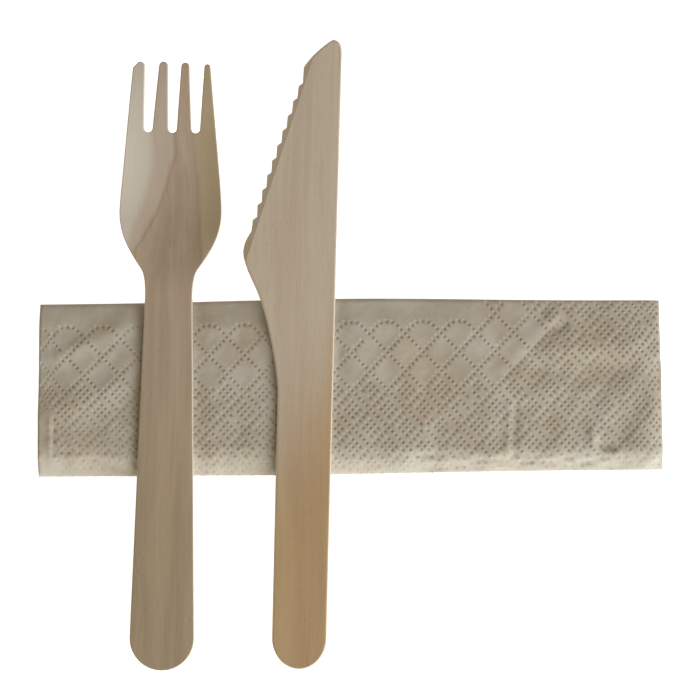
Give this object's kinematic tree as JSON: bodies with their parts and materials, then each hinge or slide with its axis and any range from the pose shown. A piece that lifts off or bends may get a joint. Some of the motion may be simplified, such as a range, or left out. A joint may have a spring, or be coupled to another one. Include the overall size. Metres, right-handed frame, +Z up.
{
  "type": "wooden cutlery pack",
  "caption": "Flat pressed wooden fork and serrated wooden knife lying side by side across a long folded paper napkin.",
  "frame": {"origin": "middle of the base of the whole pack's box, on the plane that the napkin lies on", "axes": "+X along the napkin towards its first fold, +Y along the cutlery towards the tines and the blade's tip, +Z up from the table"},
  "size_m": [0.1654, 0.1656, 0.0088],
  "materials": {
    "kraft_tissue": "unbleached, embossed, matt",
    "birch": "pressed and sanded, unvarnished"
  },
  "bodies": {
    "root": {"napkin": "kraft_tissue", "fork": "birch", "knife": "birch"}
  },
  "joints": []
}
